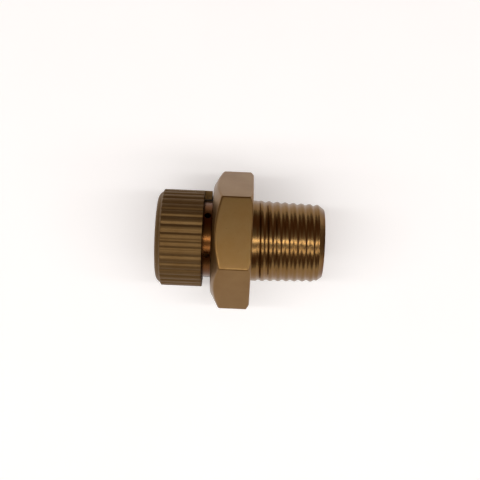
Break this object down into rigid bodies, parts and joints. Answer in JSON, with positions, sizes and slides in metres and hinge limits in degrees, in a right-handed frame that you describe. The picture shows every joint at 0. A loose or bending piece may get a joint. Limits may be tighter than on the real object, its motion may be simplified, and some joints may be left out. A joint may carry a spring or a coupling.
{
  "type": "water pressure regulator",
  "caption": "Small brass water pressure regulator: hexagon body with male taper pipe thread, spring-loaded poppet and straight-knurled adjusting knob.",
  "frame": {"origin": "on the part's axis, in the plane of the hexagon's shoulder on the thread side", "axes": "+X along the axis towards the thread's end, knob towards -X; +Z out of the hexagon's upper flat; +Y across its corners"},
  "size_m": [0.0274, 0.023, 0.02],
  "materials": {
    "brass_turned": "satin",
    "brass_knurled": "satin",
    "stainless": "satin",
    "spring_steel": "satin",
    "nitrile": "matte",
    "ptfe": "matte"
  },
  "bodies": {
    "body": {"valve_body": "brass_turned", "stop_pin": "stainless", "seat_insert": "brass_turned", "seat_oring": "nitrile", "inlet_strainer": "stainless", "strainer_screen": "stainless", "strainer_clip": "spring_steel", "gland_nut": "brass_turned", "gland_oring": "nitrile", "spindle_oring": "nitrile", "spindle_backup_ring": "ptfe", "thrust_washer": "ptfe", "knob_friction_ring": "nitrile", "main_spring": "spring_steel"},
    "knob": {"knob": "brass_knurled", "adjusting_spindle": "brass_turned", "knob_washer": "stainless", "knob_screw": "stainless"},
    "follower": {"spring_follower": "brass_turned", "spring_washer": "spring_steel"},
    "poppet": {"poppet": "brass_turned", "poppet_seal": "nitrile"}
  },
  "joints": [
    {"name": "knob_turn", "type": "hinge", "parent": "body", "child": "knob", "pos_m": [0, 0, 0], "axis": [1, 0, 0], "range_deg": [0, 330]},
    {"name": "follower_travel", "type": "slide", "parent": "body", "child": "follower", "axis": [1, 0, 0], "range_m": [0, 0.0022], "deforming": ["main_spring"]},
    {"name": "poppet_lift", "type": "slide", "parent": "body", "child": "poppet", "axis": [-1, 0, 0], "range_m": [0, 0.0007], "stiffness_N_per_m": 3000, "springref_m": -0.001, "deforming": ["main_spring"]}
  ],
  "couplings": [
    {"joint": "knob_turn", "follows": "follower_travel", "rad_per_m": 2618}
  ]
}
